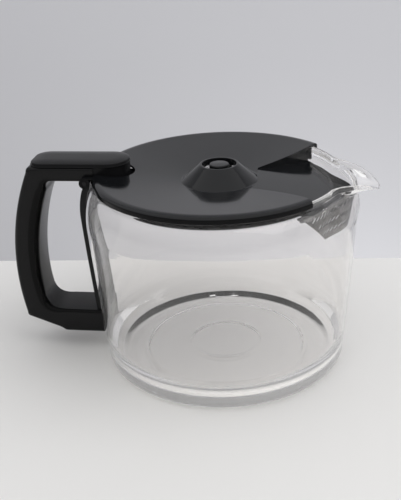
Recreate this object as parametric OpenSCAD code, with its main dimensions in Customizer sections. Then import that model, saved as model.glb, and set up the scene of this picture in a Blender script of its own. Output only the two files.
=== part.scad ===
// Glass coffee server with a moulded handle and a hinged drip-through lid.
// Millimetres. The origin is on the resting plane, on the axis of the glass.
// +Z is up and +X points to the pouring spout, so the handle is on the -X side.

/* [Glass] */
// Largest outer diameter of the glass
belly_d = 147.2; // [120:0.2:180]
// Height of the largest diameter
belly_z = 84; // [70:1:95]
// Taper of the outer radius, from the belly down to the rounded heel
taper_in = 5.6; // [0:0.2:12]
// Outer radius of the heel
heel_r = 5.5; // [3:0.5:9]
// Inset of the neck's outer radius from the belly
shoulder_in = 7.4; // [4:0.2:20]
// Height of the straight neck under the rim
neck_h = 3; // [2:0.5:8]
// Height of the rim
rim_z = 107; // [106:0.5:120]
// Thickness of the glass wall
wall = 2; // [1.5:0.1:3]
// Thickness of the bottom
bottom_t = 3; // [2:0.5:5]
// Width of the moulded foot, from the heel in to the first step
foot_w = 22; // [12:1:30]
// Distance between the two moulded steps of the bottom
ring_w = 26; // [10:1:34]
// Depth of each moulded step under the bottom
ring_step = 0.7; // [0.4:0.1:1]

/* [Spout] */
// Reach of the spout's tip beyond the neck
tip_out = 18.1; // [10:0.1:24]
// Drop of the spout's tip below the rim
tip_drop = 8.4; // [5:0.2:12]
// Half of the angle that the spout takes of the neck
spout_a = 24; // [18:1:28]
// Reach of the throat, where the spout leaves the shoulder, beyond the neck
throat_out = 7.2; // [4:0.1:9]
// Drop of the throat below the rim
throat_drop = 10.6; // [9:0.2:14]

/* [Lid] */
// Rise of the brim's top over the rim of the glass
brim_rise = 2.1; // [1.6:0.1:3]
// Drop of the lip below the rim of the glass
lip_drop = 2; // [1:0.1:3]
// Thickness of the lid's walls
lid_wall = 1.6; // [1.2:0.1:2.2]
// Running gap between the lid and the glass
lid_gap = 0.4; // [0.3:0.05:0.8]
// Depth of the dished deck at the foot of the cone
dish = 6; // [3:0.5:8]
// Diameter of the cone at its foot
cone_d = 41; // [34:1:46]
// Diameter of the cone at its top
cone_top_d = 20.8; // [18:0.2:24]
// Height of the cone
cone_h = 8.7; // [6:0.1:12]
// Diameter of the drip hole in the cone
drip_d = 18.4; // [16:0.2:20]
// Diameter of the post in the drip hole
post_d = 10.6; // [8:0.2:12]
// Half of the angle of the pouring valley at the brim
valley_a = 41.7; // [34:0.1:46]
// Drop of the valley's floor below the rim, at its front edge
tongue_drop = 9; // [7:0.5:11]

// Gap between the plug ring and the inside of the neck
plug_gap = 0.9; // [0.6:0.1:2]
// Drop of the plug ring's lower edge below the rim
plug_drop = 6.6; // [4:0.2:8]

/* [Strainer] */
// Height of the slotted sheet
apron_h = 19; // [8:0.5:22]
// Lean of the sheet towards the axis at its lower edge
apron_lean = 2.2; // [1:0.1:3]
// Thickness of the sheet
sheet_t = 0.6; // [0.4:0.1:1.2]
// Half of the angle that the sheet takes at its top
apron_a = 44; // [36:1:46]
// Number of slots in the top row
slots = 25; // [11:2:27]
// Number of rows of slots
rows = 3; // [1:1:3]
// Length of a slot
slot_l = 2.7; // [1.5:0.1:3]
// Width of a slot
slot_w = 0.9; // [0.5:0.1:1.4]

/* [Handle] */
// Width of the handle
handle_w = 24; // [18:1:30]
// Reach of the grip's outer face beyond the belly
grip_out = 44.8; // [34:0.2:56]
// Height at which the grip bulges furthest
grip_z = 50; // [44:1:58]
// Radius of the grip's outer face, seen from the side
grip_r = 140; // [110:5:200]
// Thickness of the grip
grip_t = 12; // [9:0.5:15]
// Drop of the upper arm's underside below the rim
arm_drop = 2.2; // [1:0.2:7]
// Height of the upper arm without its cover
arm_h = 7.8; // [6:0.2:10]
// Thickness of the spine that follows the glass
spine_t = 3.6; // [2.5:0.1:5]
// Width of the spine
spine_w = 20; // [14:1:24]
// Thickness of the adhesive between spine and glass
bond_t = 0.5; // [0.3:0.1:1]
// Height of the lower arm's underside
foot_z = 11.6; // [6:0.2:16]
// Height of the lower arm
foot_h = 14; // [10:0.5:18]

/* [Cover and fittings] */
// Thickness of the cover at its edge
cover_t = 2.6; // [2:0.1:4]
// Reach of the thumb nose over the lid, from the neck inwards
nose_in = 17.6; // [8:0.2:22]
// Distance of the hinge axis outside the neck
hinge_out = 4.8; // [4.6:0.1:7]
// Diameter of the hinge pin
pin_d = 2.4; // [2:0.1:3]
// Shank diameter of the cover's screw
screw_d = 3; // [2:0.5:4]
// Head diameter of the cover's screw
screw_head_d = 5.6; // [4:0.2:7]

/* [Hidden] */

$fn = 96;
// Overrun of cuts past a face
cut = 1;
// Clearance between two pieces that are fitted together
fit = 0.05;
// Clearance between bodies that move
clear = 0.4;
belly_r = belly_d / 2;
base_r = belly_r - taper_in;
foot_in = base_r - foot_w;
ring_r = foot_in - ring_w;
neck_r = belly_r - shoulder_in;
neck_z = rim_z - neck_h;
tip_x = neck_r + tip_out;
tip_z = rim_z - tip_drop;
throat_x = neck_r + throat_out;
throat_z = rim_z - throat_drop;
lid_r = neck_r + lid_gap + lid_wall;
tongue_z = rim_z - tongue_drop;
plug_r = neck_r - wall - plug_gap;
plug_z = rim_z - plug_drop;
apron_z = tongue_z - apron_h;
cone_r = cone_d / 2;
grip_x = belly_r + grip_out;
arm_z = rim_z - arm_drop;
nose_x = neck_r - nose_in;
hinge_x = neck_r + hinge_out;
hinge_z = rim_z - lip_drop;
brim_z = rim_z + brim_rise;
deck_z = brim_z - dish;
under_z = rim_z + clear / 2;
arm_top = arm_z + arm_h;

// Points of an arc round c from angle a0 to angle a1
function arc(c, r, a0, a1, n) =
    [for (i = [0:n]) let (a = a0 + (a1 - a0) * i / n) c + r * [cos(a), sin(a)]];
// Point at share t of the curve that leaves p towards q and ends at r
function bend(p, q, r, t) = (1 - t) * (1 - t) * p + 2 * t * (1 - t) * q + t * t * r;
// Heights shared out evenly between two levels
function levels(z0, z1, n) = [for (i = [0:n]) z0 + (z1 - z0) * i / n];
// Share of a sine wave in the bow of the glass wall, the rest being straight taper
bow_share = 0.35;
// Outer radius of the glass at height z
function taper(u) = (1 - bow_share) * u + bow_share * sin(90 * u);
function wall_r(z) = z < belly_z
    ? base_r + (belly_r - base_r) * taper((z - heel_r) / (belly_z - heel_r))
    : z < neck_z
        ? neck_r + (belly_r - neck_r) * sqrt(1 - pow((z - belly_z) / (neck_z - belly_z), 2))
        : neck_r;

// Outer face of the glass from the heel up to height top
function outer_wall() = [for (z = levels(heel_r, belly_z, 8)) [wall_r(z), z]];
shoulder_n = 14;
function outer_shoulder() =
    [for (i = [1:shoulder_n]) let (a = 90 * i / shoulder_n)
        [neck_r + (belly_r - neck_r) * cos(a), belly_z + (neck_z - belly_z) * sin(a)]];
function inner_shoulder() =
    [for (i = [1:shoulder_n]) let (a = 90 * i / shoulder_n)
        [neck_r - wall + (belly_r - neck_r) * cos(a),
         belly_z + (neck_z - wall - belly_z) * sin(a)]];

module jug_lathe() {
    rotate_extrude($fn = 128) polygon(concat(
        [[0, 2 * ring_step], [ring_r, 2 * ring_step], [ring_r + ring_step, ring_step],
         [foot_in - ring_step, ring_step], [foot_in, 0]],
        arc([base_r - heel_r, heel_r], heel_r, -90, 0, 6),
        outer_wall(),
        [[belly_r, belly_z + cut], [belly_r - wall, belly_z + cut]],
        [for (z = levels(belly_z, heel_r + bottom_t, 8)) [wall_r(z) - wall, z]],
        arc([wall_r(heel_r + bottom_t) - wall - heel_r, heel_r + bottom_t], heel_r, 0, -90, 5),
        [[foot_in, bottom_t], [foot_in - ring_step, bottom_t + ring_step],
         [ring_r + ring_step, bottom_t + ring_step], [ring_r, bottom_t + 2 * ring_step],
         [0, bottom_t + 2 * ring_step]]
    ));
}

// Above the belly the glass is one loft of wall sections, each in a plane through the jug's axis,
// and it laps over the lower wall inside the glass. Round the spout every section lies between the
// plain neck and the section through the middle of the spout.
spout_n = 24;
ring_n = 60;
lip_n = 4;
sink = 2 * fit;
// Share of the spout's form at angle a
function pull(a) = abs(a) < spout_a ? pow(cos(90 * a / spout_a), 2) : 0;
neck_out = [for (p = concat([[belly_r, belly_z]], outer_shoulder(), [[neck_r, rim_z - wall / 2]]))
    p - [sink, 0]];
inner_foot = [belly_r - wall, belly_z];
neck_in = [for (p = concat([inner_foot], inner_shoulder(), [[neck_r - wall, rim_z - wall / 2]]))
    p + [sink, 0]];
wall_n = len(neck_out) - 1;
// Share of the section at which the throat comes
throat_share = 0.6;
spout_bulge = 2;
tip_t = 1.6;
// Section through the middle of the spout: start, throat and tip
function beak(start, throat, tip, t) = t < throat_share
    ? bend(start, [start[0] + spout_bulge, (start[1] + throat[1]) / 2], throat, t / throat_share)
    : bend(throat, [throat[0] + wall / 2, tip[1]], tip, (t - throat_share) / (1 - throat_share));
function beak_face(list, throat, tip) = concat([list[0]],
    [for (i = [1:wall_n]) beak(list[1], throat, tip, (i - 1) / (wall_n - 1))]);
beak_out = beak_face(neck_out, [throat_x, throat_z], [tip_x, tip_z]);
beak_in = beak_face(neck_in, [throat_x - wall, throat_z + wall / 2],
    [tip_x - tip_t / 2, tip_z + tip_t]);
function mix(a, n, s) = let (w = pull(a)) [n[0] + (s[0] - n[0]) * w, n[1] + (s[1] - n[1]) * pow(w, 3)];
// Half round that closes the rim between the last points of the two faces
function lip_pts(p, q) = [for (i = [1:lip_n - 1]) let (
        c = (p + q) / 2, d = (p - q) / 2, b = 180 * i / lip_n)
    c + d * cos(b) + [-d[1], d[0]] * sin(b)];
function section(a) = let (
        out = [for (i = [0:wall_n]) mix(a, neck_out[i], beak_out[i])],
        back = [for (i = [wall_n:-1:0]) mix(a, neck_in[i], beak_in[i])])
    concat(out, lip_pts(out[wall_n], back[0]), back);
function ring_angles() = concat(
    [for (i = [0:spout_n - 1]) -spout_a + 2 * spout_a * i / spout_n],
    [for (i = [0:ring_n - 1]) spout_a + (360 - 2 * spout_a) * i / ring_n]);
module neck_loft() {
    m = len(section(0));
    angles = ring_angles();
    n = len(angles);
    pts = [for (a = angles) for (p = section(a > 180 ? a - 360 : a))
        [p[0] * cos(a), p[0] * sin(a), p[1]]];
    quads = [for (i = [0:n - 1], j = [0:m - 1]) let (k = (j + 1) % m, h = (i + 1) % n)
        each [[i * m + j, h * m + k, h * m + j], [i * m + j, i * m + k, h * m + k]]];
    polyhedron(pts, quads);
}
module glass_jug() color([0.85, 0.9, 0.9, 0.4]) {
    jug_lathe();
    neck_loft();
}

// Section of the handle: a rounded rectangle whose side towards the fingers is the rounder one
grip_soft = 4.5;
grip_edge = 3;
module grip_section(t) {
    w = handle_w / 2;
    polygon(concat(
        arc([grip_soft, w - grip_soft], grip_soft, 90, 180, 5),
        arc([grip_soft, grip_soft - w], grip_soft, 180, 270, 5),
        arc([t - grip_edge, grip_edge - w], grip_edge, -90, 0, 3),
        arc([t - grip_edge, w - grip_edge], grip_edge, 0, 90, 3)));
}
// Lay a drawing in the XZ plane and give it the handle's width
module across(w) { rotate([90, 0, 0]) translate([0, 0, -w / 2]) linear_extrude(w) children(); }

grip_cx = grip_r - grip_x;
function grip_in(z) = grip_cx - sqrt(pow(grip_r - grip_t, 2) - pow(z - grip_z, 2));
function grip_back(z) = grip_cx - sqrt(pow(grip_r, 2) - pow(z - grip_z, 2));
module grip() {
    up = asin((arm_top - grip_z) / grip_r);
    down = asin((grip_z - foot_z - heel_rise) / grip_r);
    translate([grip_cx, 0, grip_z]) rotate([90, 0, 0]) rotate([0, 0, 180 - up])
        rotate_extrude(angle = up + down) translate([grip_r - grip_t, 0]) grip_section(grip_t);
}

// Upper arm, as a drawing from the side; its rear end runs into the grip through a corner radius
window_r = 5;
module upper_arm() {
    corner = [grip_in(arm_z - window_r) + window_r, arm_z - window_r];
    intersection() {
        across(handle_w) polygon(concat(
            [[-neck_r - bond_t, arm_top], [grip_back(arm_top) + grip_edge, arm_top],
             [grip_back(arm_z), arm_z], [grip_in(arm_z - window_r) - grip_t / 2, arm_z - window_r]],
            arc(corner, window_r, 180, 90, 5),
            [[-neck_r - bond_t - spine_t, arm_z], [-neck_r - bond_t, arm_z]]));
        arm_block(arm_z - window_r - cut, arm_top);
    }
}
// Block over the handle's width with rounded lower edges
arm_edge = 2;
module arm_block(z0, z1) {
    w = handle_w / 2;
    rotate([90, 0, -90]) linear_extrude(grip_x + cut) polygon(concat(
        [[w, z1], [-w, z1]],
        arc([arm_edge - w, z0 + arm_edge], arm_edge, 180, 270, 4),
        arc([w - arm_edge, z0 + arm_edge], arm_edge, 270, 360, 4)));
}

// Lower arm: a stepped underside and a wide corner radius in the finger window
corner_r = 9;
foot_step_out = 21.4;
foot_step = 2;
heel_rise = 10;
module lower_arm() {
    top = foot_z + foot_h;
    corner = [grip_in(top + corner_r) + corner_r, top + corner_r];
    intersection() {
        across(handle_w) polygon(concat(
            [[-base_r, foot_z], [-belly_r - foot_step_out + foot_step, foot_z],
             [-belly_r - foot_step_out, foot_z + foot_step],
             [grip_back(foot_z + heel_rise), foot_z + heel_rise],
             [grip_in(top + corner_r) - grip_t / 2, top + corner_r]],
            arc(corner, corner_r, 180, 270, 6),
            [[-base_r, top]]));
        arm_block(foot_z, top + corner_r);
    }
}

// The spine is a slice of a shell of revolution just outside the glass
module spine() {
    a = asin(spine_w / 2 / belly_r);
    rotate([0, 0, 180 - a]) rotate_extrude(angle = 2 * a) polygon(concat(
        [for (z = levels(foot_z, belly_z, 8)) [wall_r(z) + bond_t, z]],
        [for (p = outer_shoulder()) [p[0] + bond_t, p[1]]],
        [[neck_r + bond_t, arm_z + cut], [neck_r + bond_t + spine_t, arm_z + cut]],
        [for (i = [shoulder_n:-1:1]) outer_shoulder()[i - 1] + [bond_t + spine_t, 0]],
        [for (z = levels(belly_z, foot_z, 8)) [wall_r(z) + bond_t + spine_t, z]]));
}

// Room for the glass inside the handle
module glass_room() {
    rotate_extrude($fn = 128) polygon(concat(
        [[0, -cut], [wall_r(heel_r) + bond_t, -cut]],
        [for (p = outer_wall()) p + [bond_t, 0]],
        [for (p = outer_shoulder()) p + [bond_t, 0]],
        [[neck_r + bond_t, brim_z + dish], [0, brim_z + dish]]));
}

// Place of the cover's screw along the upper arm
screw_x = (hinge_x + grip_x) / 2 - screw_head_d / 2;
screw_seat = 3.4;
module handle() color([0.07, 0.07, 0.08]) difference() {
    union() {
        grip();
        upper_arm();
        lower_arm();
        spine();
    }
    glass_room();
    rotate([90, 0, 0]) translate([-hinge_x, hinge_z, -handle_w])
        cylinder(h = 2 * handle_w, d = pin_d + 2 * fit);
    translate([-screw_x, 0, arm_z - cut]) cylinder(h = arm_h + 2 * cut, d = screw_d + 2 * fit);
    translate([-screw_x, 0, arm_z - cut])
        cylinder(h = arm_h - screw_seat + cut, d = screw_head_d + 2 * clear);
}

// Two pads of adhesive between the spine and the glass
pad_h = 12;
module pad(z0) {
    a = asin((spine_w / 2 - cut) / belly_r);
    zs = levels(z0, z0 + pad_h, 3);
    rotate([0, 0, 180 - a]) rotate_extrude(angle = 2 * a) polygon(concat(
        [for (z = zs) [wall_r(z), z]],
        [for (i = [3:-1:0]) [wall_r(zs[i]) + bond_t - fit, zs[i]]]));
}
module bond_pads() color("gray") {
    pad(foot_z + cut);
    pad(belly_z - pad_h);
}

// Plan of the cover: straight sides, a round nose over the lid and round corners behind
module cover_plan(w, tip = nose_x) {
    polygon(concat(
        arc([-tip - w, 0], w, 90, -90, 16),
        arc([grip_back(arm_top) + cover_round, cover_round - w], cover_round, -90, -180, 4),
        arc([grip_back(arm_top) + cover_round, w - cover_round], cover_round, 180, 90, 4)));
}
cover_edge = 1.2;
// Corner radius of the cover's rear end
cover_round = 4;
// Depth of the nose inside the neck, and lap of its shield under the edge of the lid's notch
shield_drop = 4.5;
shield_z = rim_z - shield_drop;
lap = 1;
notch_gap = 2;
// Part of a plan of the cover that hangs inside the neck, between two levels
module inside_neck(z0, z1) {
    back = sqrt(pow(neck_r - wall - clear, 2) - pow(handle_w / 2 + clear + lap, 2));
    translate([0, 0, z0]) linear_extrude(z1 - z0) intersection() {
        children();
        translate([-back, -handle_w]) square([back, 2 * handle_w]);
    }
}
module handle_cover() color([0.1, 0.1, 0.11]) difference() {
    w = handle_w / 2;
    union() {
        translate([0, 0, arm_top]) linear_extrude(cover_t - cover_edge) cover_plan(w);
        translate([0, 0, arm_top + cover_t - cover_edge - fit])
            linear_extrude(cover_edge + fit) cover_plan(w - cover_edge);
        inside_neck(shield_z, arm_top + fit) cover_plan(w - cover_edge);
        // Bridge over the rim of the glass, from the nose back to the arm
        translate([-neck_r - bond_t + fit, cover_edge - w, rim_z + clear])
            cube([2 * wall + bond_t, handle_w - 2 * cover_edge, arm_top - rim_z - clear + fit]);
        // Shield under the lid's notch
        inside_neck(shield_z, shield_z + lid_wall)
            cover_plan(w + clear + lap, nose_x - notch_gap - lap);
    }
    translate([-screw_x, 0, arm_top - cut])
        cylinder(h = cut + cover_t / 2, d = screw_d - 2 * fit);
}
module cover_screw() color("silver") translate([-screw_x, 0, 0]) {
    seat = arm_top - screw_seat;
    difference() {
        union() {
            translate([0, 0, seat - screw_d / 2]) cylinder(h = screw_d / 2, d = screw_head_d);
            translate([0, 0, seat - fit]) cylinder(h = screw_seat + cover_t / 2, d = screw_d - 2 * fit);
        }
        for (a = [0, 90]) rotate([0, 0, a])
            translate([-screw_d / 2, -screw_d / 8, seat - screw_d / 2 - fit])
                cube([screw_d, screw_d / 4, screw_d / 4]);
    }
}

// Height of the deck's top at radius r: a shallow dish from the brim down to the cone
brim_land = 3;
function deck_top(r) = deck_z + dish * (r - cone_r) / (lid_r - brim_land - cone_r);
// Outline of the valley in plan: from the cone it flares to the brim
valley_in_x = 19.3;
valley_in_y = 16;
valley_mid_share = 0.56;
valley_flare = 1.4;
function valley_side(s) = let (
        p = [valley_in_x, s * valley_in_y],
        q = lid_r * [cos(valley_a), s * sin(valley_a)],
        m = p + (q - p) * valley_mid_share + valley_flare * [1, -s])
    [for (i = [0:6]) bend(p, 2 * m - (p + q) / 2, q, i / 6)];
module valley_plan(extra) {
    far = 2 * lid_r;
    polygon(concat(
        [for (p = valley_side(-1)) p + [-extra / 2, -extra]],
        [[far * cos(valley_a), -far * sin(valley_a) - extra],
         [far * cos(valley_a), far * sin(valley_a) + extra]],
        [for (i = [6:-1:0]) valley_side(1)[i] + [-extra / 2, extra]]));
}
// Front edge of the valley's floor
tongue_in = 2.5;
tongue_r = plug_r - tongue_in;
floor_fall = (deck_z - tongue_z) / (tongue_r - valley_in_x);
module sloped_slab(t) {
    // A slab whose top follows the valley's floor
    across(4 * lid_r) polygon([
        [0, deck_z + floor_fall * valley_in_x],
        [2 * lid_r, deck_z + floor_fall * (valley_in_x - 2 * lid_r)],
        [2 * lid_r, deck_z + floor_fall * (valley_in_x - 2 * lid_r) - t],
        [0, deck_z + floor_fall * valley_in_x - t]]);
}
module lid_shell() {
    lip_z = rim_z - lip_drop;
    rotate_extrude($fn = 128) polygon(concat(
        [[drip_d / 2, deck_z + cone_h - lid_wall], [drip_d / 2, deck_z + cone_h],
         [cone_top_d / 2, deck_z + cone_h], [cone_r, deck_z],
         [lid_r - brim_land, brim_z]],
        arc([lid_r - brim_land / 2, brim_z - brim_land / 2], brim_land / 2, 90, 0, 4),
        [[lid_r, lip_z], [neck_r + lid_gap, lip_z], [neck_r + lid_gap, under_z],
         [plug_r - lid_wall, under_z], [cone_r - lid_wall / 2, deck_z - lid_wall],
         [cone_top_d / 2 - lid_wall, deck_z + cone_h - 2 * lid_wall]]));
}
// Post in the drip hole, on three ribs
rib_n = 3;
rib_t = 1.2;
module drip_post() {
    top = deck_z + cone_h;
    rib_h = cone_h / 2;
    translate([0, 0, top - 2 * lid_wall - rib_h]) cylinder(h = rib_h + 2 * lid_wall, d = post_d);
    for (i = [0:rib_n - 1]) rotate([0, 0, 60 + 360 * i / rib_n])
        translate([0, -rib_t / 2, top - 2 * lid_wall - rib_h])
            cube([drip_d / 2 + lid_wall, rib_t, rib_h]);
}
ear_w = 3;
ear_r = 3;
notch_w = handle_w + 2 * clear;
// Ears of the hinge, on each side of the upper arm
module ears() {
    for (s = [-1, 1]) translate([-hinge_x, s * (notch_w + ear_w) / 2 + ear_w / 2, hinge_z])
        rotate([90, 0, 0]) {
            cylinder(h = ear_w, r = ear_r);
            translate([0, under_z - hinge_z, 0])
                cube([hinge_x - neck_r + 2 * wall, ear_r - (under_z - hinge_z), ear_w]);
        }
}
module lid() color([0.14, 0.14, 0.15]) difference() {
    union() {
        difference() {
            lid_shell();
            difference() {
                linear_extrude(2 * brim_z) valley_plan(0);
                cylinder(h = 2 * brim_z, r = cone_r);
            }
        }
        // Floor and side walls of the valley
        intersection() {
            cylinder(h = brim_z, r = tongue_r);
            sloped_slab(lid_wall);
            linear_extrude(brim_z) valley_plan(lid_wall);
        }
        intersection() {
            difference() {
                linear_extrude(brim_z) valley_plan(lid_wall);
                linear_extrude(brim_z + cut) valley_plan(0);
                cylinder(h = brim_z + cut, r = cone_r - lid_wall / 2);
            }
            cylinder(h = brim_z + cut, r = tongue_r);
            valley_wall_limit();
        }
        drip_post();
        plug_ring();
        ledge();
        ears();
    }
    // Notch for the arm and the nose of its cover
    notch_front = nose_x - notch_gap;
    translate([-notch_front - notch_w / 2, 0, 0]) cylinder(h = 2 * brim_z, d = notch_w);
    translate([-2 * lid_r - notch_front - notch_w / 2, -notch_w / 2, 0])
        cube([2 * lid_r, notch_w, 2 * brim_z]);
    rotate([90, 0, 0]) translate([-hinge_x, hinge_z, -handle_w])
        cylinder(h = 2 * handle_w, d = pin_d - 2 * fit);
}
// Ring that plugs the neck, open at the valley and behind, where the cover's shield hangs
module plug_ring() {
    room = handle_w + 4 * clear + 2 * lap;
    difference() {
        translate([0, 0, plug_z]) cylinder(h = under_z + fit - plug_z, r = plug_r);
        translate([0, 0, plug_z - cut]) cylinder(h = rim_z, r = plug_r - lid_wall);
        linear_extrude(2 * brim_z) valley_plan(0);
        translate([-2 * plug_r, -room / 2, 0]) cube([2 * plug_r, room, 2 * brim_z]);
    }
}
// Plan of the pouring edge, which bulges to follow the throat of the spout
apron_bulge = 7.5;
apron_n = 44;
apron_r = plug_r - 2 * fit;
function apron_out(a, z) = apron_r + apron_bulge * pull(a) - apron_lean * (tongue_z - z) / apron_h;
function apron_pts(inset, z = tongue_z) = [for (i = [0:apron_n])
    let (a = apron_a * (2 * i / apron_n - 1)) (apron_out(a, z) - inset) * [cos(a), sin(a)]];
module between(outer, inner) {
    polygon(concat(outer, [for (i = [len(inner) - 1:-1:0]) inner[i]]));
}
// Ledge in front of the valley's floor, out to the strainer
ledge_t = 0.8;
module ledge() {
    translate([0, 0, tongue_z - ledge_t]) linear_extrude(ledge_t) difference() {
        polygon(concat([[0, 0]], apron_pts(sheet_t + 3 * fit)));
        circle(r = tongue_r - lid_wall);
    }
}
// Everything between the valley's floor and the deck
module valley_wall_limit() {
    rotate_extrude($fn = 128) polygon([
        [0, tongue_z - lid_wall], [lid_r, tongue_z - lid_wall], [lid_r, deck_top(lid_r) - lid_wall / 2],
        [cone_r, deck_z - lid_wall / 2], [0, deck_z - lid_wall / 2]]);
}

// The strainer is one slotted sheet whose ends slope inwards to this angle at its lower edge
apron_low_a = 22;
slot_gap_a = 3;
slot_tilt_a = 41;
slot_step = 5.7;
flange_w = tongue_in - 4 * fit;
module slot_set() {
    for (row = [0:rows - 1], i = [0:slots - 1]) {
        a = slot_gap_a * (i - (slots - 1) / 2);
        z = tongue_z - slot_l - sheet_t / 2 - row * slot_step;
        end_a = apron_low_a + (apron_a - apron_low_a) * (z - apron_z) / apron_h;
        if (abs(a) + slot_gap_a / 2 < end_a) rotate([0, 0, a]) translate([apron_out(a, z), 0, z])
            rotate([a > 0 ? -slot_tilt_a : slot_tilt_a, 0, 0])
                cube([4 * sheet_t, slot_w, slot_l], center = true);
    }
}
module leaning_sheet() {
    n = apron_n + 1;
    pts = [for (z = [apron_z, tongue_z]) each concat(
        [for (p = apron_pts(0, z)) [p[0], p[1], z]],
        [for (p = apron_pts(sheet_t, z)) [p[0], p[1], z]])];
    // Corners of the sheet's section: outer low, outer high, inner high, inner low
    corners = [0, 2 * n, 3 * n, n];
    polyhedron(pts, concat(
        [for (i = [0:apron_n - 1], k = [0:3]) let (p = corners[k], q = corners[(k + 1) % 4])
            each [[p + i, q + i, q + i + 1], [p + i, q + i + 1, p + i + 1]]],
        [[for (k = [3:-1:0]) corners[k]], [for (k = [0:3]) corners[k] + apron_n]]));
}
module strainer() color([0.6, 0.6, 0.6]) difference() {
    w = apron_r * sin(apron_a);
    low_w = apron_r * sin(apron_low_a);
    flange_z = tongue_z - ledge_t - fit - sheet_t;
    intersection() {
        union() {
            leaning_sheet();
            // Flange that holds the sheet under the lid's ledge
            translate([0, 0, flange_z]) linear_extrude(sheet_t)
                between(apron_pts(sheet_t / 2), apron_pts(flange_w));
        }
        rotate([90, 0, 90]) linear_extrude(lid_r + belly_r) polygon([
            [-w, tongue_z], [w, tongue_z], [low_w, apron_z], [-low_w, apron_z]]);
    }
    slot_set();
}

module hinge_pin() color("silver") {
    l = notch_w + 2 * ear_w;
    rotate([90, 0, 0]) translate([-hinge_x, hinge_z, -l / 2]) cylinder(h = l, d = pin_d - 2 * fit);
}

glass_jug();
bond_pads();
handle();
handle_cover();
cover_screw();
lid();
strainer();
hinge_pin();
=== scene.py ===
# %% [markdown]
# # A glass coffee server, dressed for rendering
# The carafe is already modelled as solid pieces: a glass jug, its handle and cover, a lid and a
# strainer. This lesson loads those pieces as a fixed frame, sets a camera, a table and soft light,
# and then gives every piece its finish. Pieces whose solids are too plain get a finer mesh.

# %% Load the solid pieces
import math
import bmesh
import bpy
import numpy as np
from mathutils import Matrix, Vector


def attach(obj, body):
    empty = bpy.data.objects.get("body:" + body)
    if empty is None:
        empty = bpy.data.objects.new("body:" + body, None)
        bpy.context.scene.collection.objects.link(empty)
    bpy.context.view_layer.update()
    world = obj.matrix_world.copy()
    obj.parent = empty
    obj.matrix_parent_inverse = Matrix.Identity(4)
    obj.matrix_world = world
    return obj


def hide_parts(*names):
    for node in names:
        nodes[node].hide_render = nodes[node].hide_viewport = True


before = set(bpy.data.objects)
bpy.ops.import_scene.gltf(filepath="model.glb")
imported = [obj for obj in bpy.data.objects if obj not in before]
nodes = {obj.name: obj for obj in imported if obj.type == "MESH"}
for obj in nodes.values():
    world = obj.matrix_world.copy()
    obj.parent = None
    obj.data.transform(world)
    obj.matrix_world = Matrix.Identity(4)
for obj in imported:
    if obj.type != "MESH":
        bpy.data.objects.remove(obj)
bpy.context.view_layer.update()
print("pieces:", sorted(nodes))

# %% [markdown]
# ## Camera
# The camera was worked out from the round edges of the lid and the glass, which show as ellipses.
# It stands in front and to the right, about 26 cm above the table, and looks 25 degrees down.

# %% Camera
FRAME_W, FRAME_H = 401, 500
FOCAL_PX = 832.6
CAM_AT = Vector((0.0588, -0.4183, 0.2580))
CAM_YAW, CAM_DOWN, CAM_ROLL = (math.radians(a) for a in (-9.66, 24.98, -2.87))

forward = Vector((math.sin(CAM_YAW) * math.cos(CAM_DOWN), math.cos(CAM_YAW) * math.cos(CAM_DOWN),
                  -math.sin(CAM_DOWN)))
level_right = Vector((math.cos(CAM_YAW), -math.sin(CAM_YAW), 0))
level_up = level_right.cross(forward)
right = math.cos(CAM_ROLL) * level_right + math.sin(CAM_ROLL) * level_up
up = math.cos(CAM_ROLL) * level_up - math.sin(CAM_ROLL) * level_right
cam_data = bpy.data.cameras.new("camera")
cam_data.sensor_width = 36
cam_data.lens = FOCAL_PX / FRAME_H * cam_data.sensor_width
cam_data.clip_start = 0.01
camera = bpy.data.objects.new("camera", cam_data)
facing = Matrix((right, up, -forward)).transposed().to_4x4()
camera.matrix_world = Matrix.Translation(CAM_AT) @ facing
bpy.context.scene.collection.objects.link(camera)
bpy.context.scene.camera = camera
print("lens:", round(cam_data.lens, 2), "mm")

# %% [markdown]
# ## Helpers for meshes and materials
# Colours are written as the hex values that a painter would pick, and one function turns them into
# the linear light that the renderer works in. The others add a shader node with its settings, and
# make a mesh from a list of points and faces.

# %% Helpers
MM = 0.001


def linear(hex_colour):
    """Red, green, blue and alpha in linear light, from an sRGB hex value."""
    parts = [int(hex_colour[i:i + 2], 16) / 255 for i in (1, 3, 5)]
    light = [c / 12.92 if c <= 0.04045 else ((c + 0.055) / 1.055) ** 2.4 for c in parts]
    return (*light, 1.0)


def add_node(material, kind, settings=None, **links):
    """New shader node: settings go to its sockets or options, and links come from other nodes."""
    node = material.node_tree.nodes.new(kind)
    for key, value in (settings or {}).items():
        if key in node.inputs:
            node.inputs[key].default_value = value
        else:
            setattr(node, key, value)
    for key, source in links.items():
        material.node_tree.links.new(source, node.inputs[key.replace("_", " ")])
    return node


def new_material(name):
    material = bpy.data.materials.new(name)
    material.use_nodes = True
    material.node_tree.nodes.clear()
    return material


def finish_material(material, surface):
    out = add_node(material, "ShaderNodeOutputMaterial")
    material.node_tree.links.new(surface, out.inputs["Surface"])
    return material


def mesh_object(name, verts, faces, smooth=True):
    mesh = bpy.data.meshes.new(name)
    mesh.from_pydata([tuple(v) for v in verts], [], [tuple(f) for f in faces])
    mesh.validate()
    mesh.update()
    if smooth:
        mesh.shade_smooth()
        mesh.set_sharp_from_angle(angle=math.radians(40))
    obj = bpy.data.objects.new(name, mesh)
    bpy.context.scene.collection.objects.link(obj)
    return obj


print("a mid grey is", round(linear("#808080")[0], 3), "in linear light")

# %% [markdown]
# ## Table and wall
# The object stands on a pale laminate table in front of a painted wall. The far edge of the table
# is put where the photograph shows the line between the two, by following two lines of sight down
# to the table. The wall itself stands further back, so that the object can be walked round. The
# table's top lies a hair lower than the glass, so that the two faces never fight for one place.

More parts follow.
